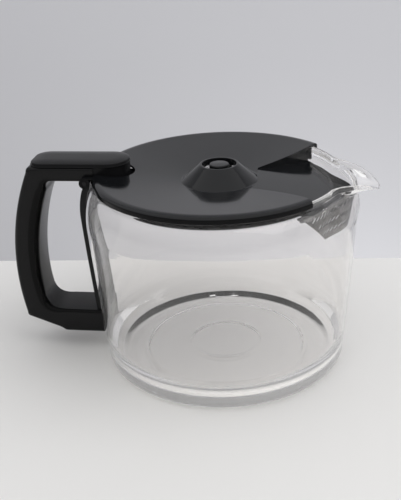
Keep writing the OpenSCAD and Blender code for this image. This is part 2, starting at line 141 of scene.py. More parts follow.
# %% Table and wall
def sight(px, py):
    """Direction from the camera through a pixel of the picture."""
    return (forward + right * (px - FRAME_W / 2) / FOCAL_PX
            - up * (py - FRAME_H / 2) / FOCAL_PX)


def on_table(px, py):
    """Point of the table that shows at a pixel of the picture."""
    ray = sight(px, py)
    return CAM_AT - ray * CAM_AT.z / ray.z


TABLE_Z, HALF = -0.0003, 1.6
WALL_AWAY, WALL_BELOW = 0.62, 0.9
LINE_LEFT_PX, LINE_RIGHT_PX = (0, 260.5), (401, 257.5)
left_edge, right_edge = on_table(*LINE_LEFT_PX), on_table(*LINE_RIGHT_PX)
along = (right_edge - left_edge).normalized() * HALF
edge = (left_edge + right_edge) / 2 + Vector((0, 0, TABLE_Z))
away = Vector((-along.y, along.x, 0)).normalized()
table = mesh_object("table", [edge - along - away * HALF, edge + along - away * HALF,
                              edge + along, edge - along], [(0, 1, 2, 3)], smooth=False)
wall_foot = edge + away * WALL_AWAY
below, above = Vector((0, 0, WALL_BELOW)), Vector((0, 0, HALF))
wall = mesh_object("wall", [wall_foot - along - below, wall_foot + along - below,
                            wall_foot + along + above, wall_foot - along + above],
                   [(0, 1, 2, 3)], smooth=False)
print("table ends", round(edge.length, 3), "m away")


def painted(name, hex_colour, grain_mm):
    """Matt laminate or wall paint: no gloss, and a grain that only just breaks up the light."""
    material = new_material(name)
    grain = add_node(material, "ShaderNodeTexNoise", {"Scale": 1 / (grain_mm * MM), "Detail": 2.0})
    bump = add_node(material, "ShaderNodeBump", {"Strength": 0.05, "Distance": 0.0002},
                    Height=grain.outputs["Fac"])
    surface = add_node(material, "ShaderNodeBsdfPrincipled",
                       {"Base Color": linear(hex_colour), "Roughness": 0.6},
                       Normal=bump.outputs["Normal"])
    return finish_material(material, surface.outputs["BSDF"])


table.data.materials.append(painted("laminate_table", "#E3E2E0", 1.0))
wall.data.materials.append(painted("painted_wall", "#DCDCE0", 1.5))

# %% [markdown]
# ## Light
# The room is lit like a white kitchen by day: the ceiling is bright, the room behind the camera is
# dimmer, and a wide soft lamp on the right stands for the window. Black plastic shows little but
# reflections, so it is the dim front of the room that makes the sides of the handle look black.

# %% Light of the room
RISE_FROM, RISE_TO, FRONT_LIGHT, CEILING_LIGHT = -0.05, 0.75, 0.38, 1.0
world = bpy.data.worlds.new("soft_room")
world.use_nodes = True
tree = world.node_tree
direction = tree.nodes.new("ShaderNodeTexCoord")
split = tree.nodes.new("ShaderNodeSeparateXYZ")
rise = tree.nodes.new("ShaderNodeMapRange")
rise.interpolation_type = "SMOOTHSTEP"
for socket, value in zip(("From Min", "From Max", "To Min", "To Max"),
                         (RISE_FROM, RISE_TO, FRONT_LIGHT, CEILING_LIGHT)):
    rise.inputs[socket].default_value = value
background = tree.nodes["Background"]
background.inputs["Color"].default_value = linear("#FAFAFB")
tree.links.new(direction.outputs["Generated"], split.inputs["Vector"])
tree.links.new(split.outputs["Z"], rise.inputs["Value"])
tree.links.new(rise.outputs["Result"], background.inputs["Strength"])
bpy.context.scene.world = world
print("room:", FRONT_LIGHT, "in front to", CEILING_LIGHT, "above")


# %% Lamps
def on_wall(px, py):
    """Point of the wall that shows at a pixel of the picture."""
    ray = sight(px, py)
    return CAM_AT + ray * (wall_foot - CAM_AT).dot(away) / ray.dot(away)


def soft_lamp(name, at, aim, size, watts):
    data = bpy.data.lights.new(name, "AREA")
    data.shape = "RECTANGLE"
    data.size, data.size_y = size
    data.energy = watts
    lamp = bpy.data.objects.new(name, data)
    lamp.location = at
    lamp.rotation_euler = (Vector(aim) - Vector(at)).to_track_quat("-Z", "Y").to_euler()
    bpy.context.scene.collection.objects.link(lamp)
    return lamp


WINDOW_AT, WINDOW_AIM, WINDOW_SIDE, WINDOW_W = (0.95, -0.25, 1.3), (0, 0, 0.05), 1.3, 9
window = soft_lamp("window_lamp", WINDOW_AT, WINDOW_AIM, (WINDOW_SIDE, WINDOW_SIDE), WINDOW_W)
# The window lights the scene without showing as a hard-edged panel in glossy surfaces.
window.visible_glossy = False
SPOT_X, SPOT_Y, SPOT_Z, SPOT_APART = 0.72, 0.27, 0.55, 0.05
SPOT_AIM, SPOT_SIDE, SPOT_W = (0, 0, 0.08), 0.03, 0.1
for shift in (0.0, SPOT_APART):
    spot_at = (SPOT_X + shift, SPOT_Y + shift, SPOT_Z)
    soft_lamp("ceiling_spot", spot_at, SPOT_AIM, (SPOT_SIDE, SPOT_SIDE), SPOT_W)
# The wall is brighter low down and to the right, from a lamp that the table's edge hides.
GLOW_FROM_PX, GLOW_ONTO_PX = (370, 410), (320, 200)
GLOW_BEFORE_WALL, GLOW_SIDE, GLOW_W = 0.4, 0.25, 1.15
glow_at = on_wall(*GLOW_FROM_PX) - away * GLOW_BEFORE_WALL
soft_lamp("wall_glow", glow_at, on_wall(*GLOW_ONTO_PX), (GLOW_SIDE, GLOW_SIDE), GLOW_W)
bpy.context.scene.view_settings.view_transform = "Standard"

# %% [markdown]
# ## The glass
# The jug is borosilicate glass, blown into a mould and then pulled out by hand at the spout. It
# could be shown with one thin skin, but light bends twice in a real wall, so the mesh has both
# faces, the round lip and the thick foot. Every section is a closed loop, and the sections are
# joined in turn. From here on, sizes are in millimetres until a mesh is made.

# %% Sizes and neck of the glass
BELLY_R, BELLY_Z, BASE_R, HEEL_R = 73.59, 84.0, 68.0, 5.5
NECK_R, NECK_Z, RIM_Z, WALL = 66.2, 104.0, 107.0, 2.0
FOOT_R, RING_R, STEP, BOTTOM = 46.0, 20.0, 0.7, 3.0
TIP_X, TIP_Z, THROAT_X, THROAT_Z, SPOUT_A = 84.25, 98.6, 73.4, 96.4, 24.0
# The side of the jug is partly a straight cone and partly a round belly.
CONE_SHARE, ROUND_SHARE = 0.65, 0.35


def wall_radius(z):
    """Outer radius of the glass between the heel and the belly."""
    u = (z - HEEL_R) / (BELLY_Z - HEEL_R)
    return BASE_R + (BELLY_R - BASE_R) * (CONE_SHARE * u + ROUND_SHARE * np.sin(np.pi / 2 * u))


def pull(angle):
    """How far the spout is pulled out at an angle: 1 at its middle and 0 beside it."""
    return math.cos(math.pi / 2 * angle / SPOUT_A) ** 2 if abs(angle) < SPOUT_A else 0.0


def bend(p, q, r, t):
    """Point at share t of the curve that leaves p and reaches r, with q as its corner."""
    p, q, r = map(np.array, (p, q, r))
    return (1 - t) ** 2 * p + 2 * t * (1 - t) * q + t * t * r


SHOULDER_N = 36
arc = np.linspace(0, np.pi / 2, SHOULDER_N)
neck_out = [np.array((NECK_R + (BELLY_R - NECK_R) * math.cos(a),
                      BELLY_Z + (NECK_Z - BELLY_Z) * math.sin(a))) for a in arc]
neck_out.append(np.array((NECK_R, RIM_Z - WALL / 2)))
neck_in = [np.array((NECK_R - WALL + (BELLY_R - NECK_R) * math.cos(a),
                     BELLY_Z + (NECK_Z - WALL - BELLY_Z) * math.sin(a))) for a in arc]
neck_in.append(np.array((NECK_R - WALL, RIM_Z - WALL / 2)))
print("neck:", len(neck_out), "points a side")

# %% [markdown]
# ## Spout and foot of the glass
# A spout is pulled out of the warm rim with a rounded tool, so the pull is strongest in its middle
# and fades to both sides. It could be sculpted by hand, but here one curve through throat and tip
# is mixed into the round neck by that pull, which keeps rim, throat and lip in step. Under the jug,
# two shallow steps of the mould show as faint rings.

# %% Spout of the glass
THROAT_SHARE = 0.6
TIP_T, TIP_RISE = 0.8, 1.6


def beak(start, throat, tip, t):
    """Profile at the middle of the spout, from the shoulder through the throat to the tip."""
    if t < THROAT_SHARE:
        return bend(start, (start[0] + 2, (start[1] + throat[1]) / 2), throat, t / THROAT_SHARE)
    return bend(throat, (throat[0] + 1, tip[1]), tip, (t - THROAT_SHARE) / (1 - THROAT_SHARE))


def spread(face, throat, tip):
    n = len(face)
    return [beak(face[0], throat, tip, i / (n - 1)) for i in range(n)]


beak_out = spread(neck_out, (THROAT_X, THROAT_Z), (TIP_X, TIP_Z))
beak_in = spread(neck_in, (THROAT_X - WALL, THROAT_Z + 1), (TIP_X - TIP_T, TIP_Z + TIP_RISE))
print("spout reaches", TIP_X, "mm out")


def mixed(angle, plain, pulled):
    """Neck at an angle, between its round form and the pulled one."""
    w = pull(angle)
    return [np.array((n[0] + (s[0] - n[0]) * w, n[1] + (s[1] - n[1]) * w ** 3))
            for n, s in zip(plain, pulled)]


def lip(p, q, n=8):
    """Half round that closes the rim between its two faces."""
    c, d = (p + q) / 2, (p - q) / 2
    across = np.array((-d[1], d[0]))
    return [c + d * math.cos(math.pi * i / n) + across * math.sin(math.pi * i / n)
            for i in range(1, n)]


# %% Foot of the glass
def soft_step(r0, z0, r1, z1, n=9):
    """Gentle step of the bottom, as the mould's paste leaves it."""
    return [np.array((r0 + (r1 - r0) * i / n, z0 + (z1 - z0) * (1 - math.cos(math.pi * i / n)) / 2))
            for i in range(n + 1)]


HEEL_IN = 18.0
CENTRE_R, FLAT_R, SOFT = 0.001, 12, 1.5
# Points beside the steps keep the flats between them looking level.
HOLD = 4
low_out = [np.array((CENTRE_R, 2 * STEP)), np.array((FLAT_R, 2 * STEP))]
low_out += soft_step(RING_R - SOFT, 2 * STEP, RING_R + SOFT, STEP)
low_out += [np.array((RING_R + HOLD, STEP)), np.array((FOOT_R - HOLD, STEP))]
low_out += soft_step(FOOT_R - 2, STEP, FOOT_R, 0)
low_out += [np.array((FOOT_R + 3, 0.0)), np.array((BASE_R - HEEL_R - 2, 0.0))]
low_out += [np.array((BASE_R - HEEL_R + HEEL_R * math.cos(a), HEEL_R + HEEL_R * math.sin(a)))
            for a in np.linspace(-np.pi / 2, 0, 14)]
low_out += [np.array((wall_radius(z), z)) for z in np.linspace(HEEL_R, BELLY_Z, 40)[1:-1]]
low_in = [np.array((wall_radius(z) - WALL, z))
          for z in np.linspace(BELLY_Z, HEEL_IN + BOTTOM, 36)[1:]]
IN_HEEL_X = wall_radius(HEEL_IN + BOTTOM) - WALL - HEEL_IN
low_in += [np.array((IN_HEEL_X + HEEL_IN * math.cos(a), HEEL_IN + BOTTOM + HEEL_IN * math.sin(a)))
           for a in np.linspace(0, -np.pi / 2, 30)[1:]]
low_in += soft_step(IN_HEEL_X - 1, BOTTOM, IN_HEEL_X - 3, BOTTOM + STEP)
low_in += [np.array((IN_HEEL_X - 6, BOTTOM + STEP)), np.array((RING_R + 5, BOTTOM + STEP))]
low_in += soft_step(RING_R + 2, BOTTOM + STEP, RING_R - 2, BOTTOM + 2 * STEP)
low_in += [np.array((FLAT_R, BOTTOM + 2 * STEP)), np.array((CENTRE_R, BOTTOM + 2 * STEP))]
print("foot:", len(low_out) + len(low_in), "points")


# %% Jug from its sections
def glass_section(angle):
    out = mixed(angle, neck_out, beak_out)
    back = mixed(angle, neck_in, beak_in)[::-1]
    return low_out + out + lip(out[-1], back[0]) + back + low_in


# The sections stand closer together round the spout than elsewhere.
FINE_A, FINE_STEP_A, COARSE_N = 26, 0.5, 154
angles = list(np.arange(-FINE_A, FINE_A, FINE_STEP_A))
angles += list(np.linspace(FINE_A, 360 - FINE_A, COARSE_N, endpoint=False))
sections = []
for angle in angles:
    a = math.radians(angle)
    sections.append([(p[0] * math.cos(a) * MM, p[0] * math.sin(a) * MM, p[1] * MM)
                     for p in glass_section(angle if angle < 180 else angle - 360)])
row, ring = len(sections[0]), len(sections)
verts = [p for s in sections for p in s]
faces = [(i * row + j, (i + 1) % ring * row + j, (i + 1) % ring * row + j + 1, i * row + j + 1)
         for i in range(ring) for j in range(row - 1)]
jug = mesh_object("jug", verts, faces)
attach(jug, "jug")
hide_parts("glass_jug")
print("jug:", len(verts), "points")

# %% [markdown]
# ## Borosilicate glass
# Borosilicate is almost without colour, and its index of refraction is 1.47. The skin of a blown
# jug waves a little over a few centimetres. Rays that only test for shade pass through, because a
# renderer would otherwise draw the shadow of clear glass almost black.

# %% Glass finish
GLASS_IOR, FACES_CROSSED = 1.47, 4.5
# Painted shade in the foot: led light fades from full above 30 mm to a share of it below 22 mm.
DIM_TO_Z, CLEAR_FROM_Z, FOOT_SHADE_PAINTED = 22, 30, 0.85


def borosilicate(name, hex_colour, wave_mm):
    material = new_material(name)
    wave = add_node(material, "ShaderNodeTexNoise", {"Scale": 1 / (wave_mm * MM), "Detail": 0.0})
    bump = add_node(material, "ShaderNodeBump", {"Strength": 0.2, "Distance": 0.00002},
                    Height=wave.outputs["Fac"])
    glass = add_node(material, "ShaderNodeBsdfPrincipled",
                     {"Base Color": linear(hex_colour), "Roughness": 0.0, "IOR": GLASS_IOR,
                      "Specular IOR Level": 0.25, "Transmission Weight": 1.0},
                     Normal=bump.outputs["Normal"])
    clear = add_node(material, "ShaderNodeBsdfTransparent", {"Color": linear("#FAFAF9")})
    path = add_node(material, "ShaderNodeLightPath")
    shaded = add_node(material, "ShaderNodeMixShader", None, Fac=path.outputs["Is Shadow Ray"])
    material.node_tree.links.new(glass.outputs["BSDF"], shaded.inputs[1])
    material.node_tree.links.new(clear.outputs["BSDF"], shaded.inputs[2])
    # Light that has crossed more than four faces was led along inside the glass. It leaves it here,
    # instead of being lost.
    led_long = add_node(material, "ShaderNodeMath", {"operation": "GREATER_THAN"})
    led_long.inputs[1].default_value = FACES_CROSSED
    material.node_tree.links.new(path.outputs["Ray Depth"], led_long.inputs[0])
    # Led light that has not yet met the table is painted darker low in the foot: painted shade
    # for the foot's grey band. Light scattered by the table, and all light higher up, stays full.
    place = add_node(material, "ShaderNodeTexCoord").outputs["Object"]
    height = add_node(material, "ShaderNodeSeparateXYZ", None, Vector=place).outputs["Z"]
    led = add_node(material, "ShaderNodeMapRange",
                   {"From Min": DIM_TO_Z * MM, "From Max": CLEAR_FROM_Z * MM,
                    "To Min": FOOT_SHADE_PAINTED, "To Max": 1.0}, Value=height)
    strength = add_node(material, "ShaderNodeMapRange", None,
                        Value=path.outputs["Diffuse Depth"], To_Min=led.outputs["Result"])
    way_out = add_node(material, "ShaderNodeBsdfTransparent", None,
                       Color=strength.outputs["Result"])
    both = add_node(material, "ShaderNodeMixShader", None, Fac=led_long.outputs["Value"])
    material.node_tree.links.new(shaded.outputs["Shader"], both.inputs[1])
    material.node_tree.links.new(way_out.outputs["BSDF"], both.inputs[2])
    return finish_material(material, both.outputs["Shader"])


jug.data.materials.append(borosilicate("borosilicate_glass", "#FEFDFC", 40.0))
print("glass:", jug.data.materials[0].name)

# %% [markdown]
# ## Moulded plastic
# The handle and the lid are injection-moulded. Such plastic copies the mould's finish: polished
# steel gives gloss, and a spark-eroded mould gives a fine even grain that scatters reflections. The
# gloss also varies in soft clouds a few centimetres wide, where hands and cloths have rubbed it.

# %% Plastic finish
CLOUD_MM = 25.0


def moulded(name, hex_colour, roughness, grain_mm, grain_depth, ior=1.45):
    material = new_material(name)
    place = add_node(material, "ShaderNodeTexCoord").outputs["Object"]
    grain = add_node(material, "ShaderNodeTexNoise", {"Scale": 1 / (grain_mm * MM), "Detail": 2.0},
                     Vector=place)
    cloud = add_node(material, "ShaderNodeTexNoise", {"Scale": 1 / (CLOUD_MM * MM), "Detail": 3.0},
                     Vector=place)
    gloss = add_node(material, "ShaderNodeMapRange",
                     {"To Min": roughness * 0.85, "To Max": roughness * 1.2},
                     Value=cloud.outputs["Fac"])
    bump = add_node(material, "ShaderNodeBump", {"Strength": grain_depth, "Distance": 0.0001},
                    Height=grain.outputs["Fac"])
    surface = add_node(material, "ShaderNodeBsdfPrincipled",
                       {"Base Color": linear(hex_colour), "IOR": ior},
                       Roughness=gloss.outputs["Result"], Normal=bump.outputs["Normal"])
    return finish_material(material, surface.outputs["BSDF"])


def dress(node, material):
    """Give a piece that keeps its solid its finish."""
    obj = nodes[node]
    obj.data.materials.clear()
    obj.data.materials.append(material)


# Cured silicone is grey and milky, and its skin is dull.
dress("bond_pads", moulded("silicone_adhesive", "#8C8C88", 0.5, 0.8, 0.1))
print("adhesive:", nodes["bond_pads"].data.materials[0].name)

# %% [markdown]
# ## The handle
# The handle is one phenolic moulding: an upper arm, a bowed grip and a lower arm, with a thin spine
# that follows the glass. It could be carved out of a block, but a moulding has soft corners whose
# radius changes along the way, widest where the fingers lie. So a rounded section is led along two
# lines drawn from the side: the inner line round the finger gap, and the outer line.

# %% Two lines of the handle, seen from the side
GRIP_X, GRIP_Z, GRIP_R, GRIP_T = -118.3, 50.0, 140.0, 13.6
ARM_TOP, ARM_Z, FOOT_Z, FOOT_TOP, HEEL_TOP = 112.6, 104.8, 11.6, 25.6, 20.6
# Outside these two points, the underside of the lower arm slopes up towards the grip.
HEEL_X, TOE_X, TOE_RISE, FOOT_AT = -95.2, -93, 1.8, 18
BOND = 0.5


def grip_line(z, radius):
    return GRIP_X + GRIP_R - math.sqrt(radius ** 2 - (z - GRIP_Z) ** 2)


def round_corners(points, radii, steps=10):
    """Polyline whose corners are replaced by smooth bends that start at a given distance."""
    points = [np.array(p, float) for p in points]
    out = [points[0]]
    for before, corner, after, r in zip(points, points[1:], points[2:], radii):
        a = corner + (before - corner) / np.linalg.norm(before - corner) * r
        b = corner + (after - corner) / np.linalg.norm(after - corner) * r
        out += [bend(a, corner, b, t) for t in np.linspace(0, 1, steps)]
    return out + [points[-1]]


def even(points, n):
    """The same line with n points at equal steps."""
    points = np.array(points)
    run = np.concatenate([[0], np.cumsum(np.linalg.norm(np.diff(points, axis=0), axis=1))])
    at = np.linspace(0, run[-1], n)
    return np.stack([np.interp(at, run, points[:, k]) for k in (0, 1)], axis=1)


def bow(z0, z1, radius, n=24):
    return [(grip_line(z, radius), z) for z in np.linspace(z0, z1, n)]


ARM_END, FOOT_END = -NECK_R - BOND, -wall_radius(FOOT_AT) - BOND
# The bows stop a few millimetres short of the arms, which leaves room for the bends between them.
inner_bow = bow(ARM_Z - 6, FOOT_TOP + 11, GRIP_R - GRIP_T)
outer_bow = bow(ARM_TOP - 3, HEEL_TOP + 2, GRIP_R)
inner_top = round_corners([(ARM_END, ARM_Z), (inner_bow[0][0], ARM_Z), inner_bow[0]], [5.5])
inner_low = round_corners([inner_bow[-1], (inner_bow[-1][0] + 0.5, FOOT_TOP),
                           (FOOT_END, FOOT_TOP)], [10])
outer_top = round_corners([(ARM_END, ARM_TOP), (outer_bow[0][0] + 0.5, ARM_TOP),
                           outer_bow[0]], [2.5])
outer_low = round_corners([outer_bow[-1], (outer_bow[-1][0] - 0.2, HEEL_TOP),
                           (HEEL_X, FOOT_Z + TOE_RISE), (TOE_X, FOOT_Z), (FOOT_END, FOOT_Z)],
                          [1.8, 1.2, 1.2])
TOP_N, BOW_N, LOW_N = 40, 60, 44


def one_line(top, bowed, low):
    """Top, bow and bottom of the handle joined, with a fixed number of points for each."""
    return np.vstack([even(top, TOP_N), even(bowed, BOW_N)[1:-1], even(low, LOW_N)])


inner_line = one_line(inner_top, inner_bow, inner_low)
outer_line = one_line(outer_top, outer_bow, outer_low)
print("handle lines:", len(inner_line), "points each")

# %% Skin of the handle
HANDLE_W = 24.0
CORNER_N = 6
# A corner on the finger side takes at most this share of the section's depth.
FINGER_SHARE = 0.48


def quarter(cx, cy, r, a0):
    turns = [a0 + math.pi / 2 * i / CORNER_N for i in range(CORNER_N + 1)]
    return [(cx + r * math.cos(a), cy + r * math.sin(a)) for a in turns]


def rounded_section(depth, finger_r, back_r):
    """Section as (share of the depth from the inner line, width) pairs, walked round once."""
    w = HANDLE_W / 2
    loop = (quarter(finger_r, w - finger_r, finger_r, math.pi / 2) +
            quarter(finger_r, finger_r - w, finger_r, math.pi) +
            quarter(depth - back_r, back_r - w, back_r, -math.pi / 2) +
            quarter(depth - back_r, w - back_r, back_r, 0))
    return [(x / depth, y) for x, y in loop]


def led_along(inner, outer, finger_radii, back_radii):
    """Sections between the two lines, each with its own depth and corner radii."""
    rows = []
    for a, b, finger_r, back_r in zip(inner, outer, finger_radii, back_radii):
        depth = float(np.linalg.norm(b - a))
        section = rounded_section(depth, min(finger_r, depth * FINGER_SHARE), back_r)
        rows.append([(*(a + (b - a) * share), y) for share, y in section])
    return rows


def skin(name, rows):
    """Mesh through a row of sections, closed at both ends."""
    n = len(rows[0])
    verts = [p for r in rows for p in r]
    faces = [(i * n + j, i * n + (j + 1) % n, (i + 1) * n + (j + 1) % n, (i + 1) * n + j)
             for i in range(len(rows) - 1) for j in range(n)]
    faces += [tuple(range(n))[::-1], tuple(range(len(verts) - n, len(verts)))]
    return mesh_object(name, verts, faces)


# The corners grow from the upper arm to the grip and shrink again towards the lower arm.
FINGER_R, FINGER_MORE, BACK_R, BACK_MORE = 1.6, 3.6, 1.4, 1.6
GROW_SHARE, GROW_N, SHRINK_SHARE, SHRINK_N = 0.7, 14, 0.55, 22
count = len(inner_line)
nth = np.arange(count)
grow = np.clip((nth - TOP_N * GROW_SHARE) / GROW_N, 0, 1)
shrink = np.clip((count - LOW_N * SHRINK_SHARE - nth) / SHRINK_N, 0, 1)
grip_share = grow * shrink
rows = led_along(inner_line, outer_line, FINGER_R + FINGER_MORE * grip_share,
                 BACK_R + BACK_MORE * grip_share)
handle_rows = []
for r in rows:
    keep = []
    for x, z, y in r:
        # The two ends stop short of the glass by the thickness of the adhesive.
        glass_r = wall_radius(z) if z < BELLY_Z else NECK_R
        reach = -math.sqrt(glass_r ** 2 + 2 * BOND * NECK_R - y * y)
        keep.append((min(x, reach) * MM, y * MM, z * MM))
    handle_rows.append(keep)
handle_mesh = skin("handle_moulding", handle_rows)
print("handle:", len(handle_rows), "sections")

# %% [markdown]
# ## Spine and finish of the handle
# A thin strip of the same moulding runs down the glass, and two pads of adhesive hold it there. It
# could be bent to the glass by a modifier, but the radius of the glass is known at every height, so
# its sections are put in place directly.

# %% Spine of the handle
SPINE_T, SPINE_W, SPINE_EDGE = 3.6, 20.0, 1.2
SPINE_LOW_Z, SPINE_TOP_Z = 20, 103.5


def shoulder_radius(z):
    """Outer radius of the glass between the belly and the neck."""
    rise = (z - BELLY_Z) / (NECK_Z - BELLY_Z)
    return NECK_R + (BELLY_R - NECK_R) * math.sqrt(max(0, 1 - rise ** 2))


def rounded_spine(w, r):
    """Section of the spine as (depth, width) pairs, flat towards the glass."""
    flat = [(r - w) * (1 - i / 6) for i in range(13)]
    near_side = quarter(SPINE_T - r, w - r, r, 0)[::-1]
    far_side = quarter(SPINE_T - r, r - w, r, -math.pi / 2)[::-1]
    return ([(0.0, -w)] + [(0.0, y) for y in flat] + [(0.0, w)] + near_side +
            [(SPINE_T, y) for y in flat[::-1][1:-1]] + far_side)


def spine_section(z):
    inner_r = (wall_radius(z) if z < BELLY_Z else shoulder_radius(z)) + BOND
    points = [(inner_r + depth, y) for depth, y in rounded_spine(SPINE_W / 2, SPINE_EDGE)]
    return [(-math.sqrt(r * r - y * y) * MM, y * MM, z * MM) for r, y in points]


spine_levels = list(np.linspace(SPINE_LOW_Z, BELLY_Z, 26))
shoulder_turns = np.linspace(0, np.pi / 2, 16)[1:]
spine_levels += list(BELLY_Z + (SPINE_TOP_Z - BELLY_Z) * np.sin(shoulder_turns))
spine = skin("handle_spine", [spine_section(z) for z in spine_levels])
for piece in (handle_mesh, spine):
    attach(piece, "jug")
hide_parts("handle")
print("spine:", len(spine_levels), "sections")

# %% Finish of the handle
black = moulded("phenolic_black_satin", "#0A0A0B", 0.22, 0.6, 0.04, ior=1.29)
for piece in (handle_mesh, spine):
    piece.data.materials.append(black)
# The round corners on the finger side get a glossier copy of the black, with a darker colour and
# weaker reflections as painted shade for their black band. They are the first two quarter turns
# of every section.
polished = moulded("phenolic_black_polished_painted_shade", "#080808", 0.12, 0.6, 0.01, ior=1.2)
handle_mesh.data.materials.append(polished)
round_n = len(handle_rows[0])
for face in handle_mesh.data.polygons:
    nth_side = face.index % round_n
    on_corner = nth_side < CORNER_N or CORNER_N < nth_side <= 2 * CORNER_N
    if face.index < round_n * (count - 1) and on_corner:
        face.material_index = 1
middle = count // 2
grip_depth = float(np.linalg.norm(outer_line[middle] - inner_line[middle]))
print("handle depth:", round(grip_depth, 2), "mm")

# %% [markdown]
# ## Lid
# The lid is one moulding: a turned-down brim, a dished deck, a centre cone whose hole lets the
# coffee drip in, and a wedge-shaped valley that lets it out again. It could be cut from the solid
# file, but its coarse facets would show in so glossy a surface. So the round parts are turned here
# as on a lathe, with rounded edges, and joined and cut as solids.

# %% Solids by turning and by outline
def tidy_normals(obj):
    """Turn every face outwards, which the cuts need."""
    work = bmesh.new()
    work.from_mesh(obj.data)
    bmesh.ops.recalc_face_normals(work, faces=work.faces)
    work.to_mesh(obj.data)
    work.free()
    return obj


def fillet(corners, steps=6):
    """Closed profile of (r, z, radius) corners, each rounded where its radius isn't zero."""
    out = []
    for i, (x, z, radius) in enumerate(corners):
        here = np.array((x, z))
        if not radius:
            out.append(tuple(here))
            continue
        before, after = (np.array(corners[(i + k) % len(corners)][:2]) - here for k in (-1, 1))
        a, b = (here + side / np.linalg.norm(side) * radius for side in (before, after))
        out += [tuple(bend(a, here, b, t)) for t in np.linspace(0, 1, steps)]
    return out


def turned(name, profile, count=240):
    """Solid that a closed profile of (r, z) points makes when it goes round once."""
    n = len(profile)
    verts = [(r * math.cos(a) * MM, r * math.sin(a) * MM, z * MM)
             for a in np.linspace(0, 2 * np.pi, count, endpoint=False) for r, z in profile]
    faces = [(i * n + j, (i + 1) % count * n + j, (i + 1) % count * n + (j + 1) % n,
              i * n + (j + 1) % n) for i in range(count) for j in range(n)]
    return tidy_normals(mesh_object(name, verts, faces))


def slab(name, outline, low, high, upright=False):
    """Solid over an outline, between two levels that may be functions of x and y."""
    n = len(outline)
    levels = [level if callable(level) else (lambda x, y, z=level: z) for level in (low, high)]
    verts = [(x * MM, y * MM, level(x, y) * MM) for level in levels for x, y in outline]
    if upright:
        verts = [(x, z, y) for x, y, z in verts]
    faces = [tuple(range(n))[::-1], tuple(range(n, 2 * n))]
    faces += [(i, (i + 1) % n, n + (i + 1) % n, n + i) for i in range(n)]
    return tidy_normals(mesh_object(name, verts, faces))


def worked(obj, others, operation):
    """Join the other solids to this one, or cut them away, and keep the result as its mesh."""
    for other in others:
        step = obj.modifiers.new("step", "BOOLEAN")
        step.operation, step.solver, step.object = operation, "EXACT", other
    bpy.context.view_layer.update()
    graph = bpy.context.evaluated_depsgraph_get()
    obj.data = bpy.data.meshes.new_from_object(obj.evaluated_get(graph))
    obj.modifiers.clear()
    for other in others:
        bpy.data.objects.remove(other)
    obj.data.shade_smooth()
    obj.data.set_sharp_from_angle(angle=math.radians(30))
    return obj


def arc_points(x, y, r, start, stop, n=24):
    return [(x + r * math.cos(math.radians(a)), y + r * math.sin(math.radians(a)))
            for a in np.linspace(start, stop, n)]


def box_outline(x0, y0, x1, y1):
    return [(x0, y0), (x1, y0), (x1, y1), (x0, y1)]


print("an arc has", len(arc_points(0, 0, 1, 0, 90)), "points, unless a call asks for more or fewer")

# %% Sizes of the lid and its valley
LID_R, LIP_Z, BRIM_Z, LID_WALL, LAND = 68.2, 105.0, 109.1, 1.6, 3.0
DECK_Z, CONE_R, CONE_TOP_R, CONE_TOP_Z, DRIP_R, POST_R = 103.1, 20.5, 10.4, 111.8, 9.2, 5.3
UNDER_Z, PLUG_R, PLUG_Z, TONGUE_R, TONGUE_Z = 107.2, 63.3, 100.4, 60.8, 98.0
VALLEY_X, VALLEY_Y, VALLEY_TURN = 19.3, 16, math.radians(41.7)
VALLEY_MID_SHARE, VALLEY_BOW = 0.56, 1.4
# What is cut away reaches far past the lid, and solids that are joined overlap a little.
FAR, CUT_LOW, CUT_HIGH, OVERLAP = 160.0, 90, 120, 0.3


def deck_top(x, y):
    return DECK_Z + (BRIM_Z - DECK_Z) * (math.hypot(x, y) - CONE_R) / (LID_R - LAND - CONE_R)


def floor_top(x, y):
    return DECK_Z - (DECK_Z - TONGUE_Z) / (TONGUE_R - VALLEY_X) * (x - VALLEY_X)


def valley_side(side, extra=0.0, reach=LID_R):
    """One bowed side of the valley, from the cone out to a radius, moved out by extra."""
    p = np.array((VALLEY_X, side * VALLEY_Y))
    q = LID_R * np.array((math.cos(VALLEY_TURN), side * math.sin(VALLEY_TURN)))
    m = p + (q - p) * VALLEY_MID_SHARE + VALLEY_BOW * np.array((1, -side))
    corner = 2 * m - (p + q) / 2
    line = [bend(p, corner, q, t) + (-extra / 2, side * extra) for t in np.linspace(0, 1, 40)]
    return [tuple(v) for v in line if math.hypot(*v) <= reach + 0.01]


def valley_plan():
    x, y = FAR * math.cos(VALLEY_TURN), FAR * math.sin(VALLEY_TURN)
    return valley_side(-1) + [(x, -y), (x, y)] + valley_side(1)[::-1]


print("valley:", len(valley_side(1)), "points a side")

# %% Shell of the lid, with the valley cut out and lined
shell = turned("lid_moulding", fillet([
    (DRIP_R, CONE_TOP_Z - LID_WALL, 0), (DRIP_R, CONE_TOP_Z, 0.4), (CONE_TOP_R, CONE_TOP_Z, 0.6),
    (CONE_R, DECK_Z, 0.5), (LID_R - LAND, BRIM_Z, 1.2), (LID_R - 0.8, BRIM_Z - 0.5, 0.6),
    (LID_R, BRIM_Z - 1.6, 0.5), (LID_R, LIP_Z, 0.4), (LID_R - LID_WALL, LIP_Z, 0.4),
    (LID_R - LID_WALL, UNDER_Z, 0), (PLUG_R - LID_WALL, UNDER_Z, 0),
    (CONE_R - 0.8, DECK_Z - LID_WALL, 0), (CONE_TOP_R - LID_WALL, CONE_TOP_Z - 2 * LID_WALL, 0)]))
valley = slab("valley", valley_plan(), CUT_LOW, CUT_HIGH)
core = turned("core", [(CENTRE_R, CUT_LOW - 1), (CONE_R, CUT_LOW - 1), (CONE_R, CUT_HIGH + 1),
                       (CENTRE_R, CUT_HIGH + 1)])
worked(valley, [core], "DIFFERENCE")
worked(shell, [valley], "DIFFERENCE")
floor_edge = valley_side(-1, LID_WALL, TONGUE_R), valley_side(1, LID_WALL, TONGUE_R)
floor_ends = [math.degrees(math.atan2(line[-1][1], line[-1][0])) for line in floor_edge]
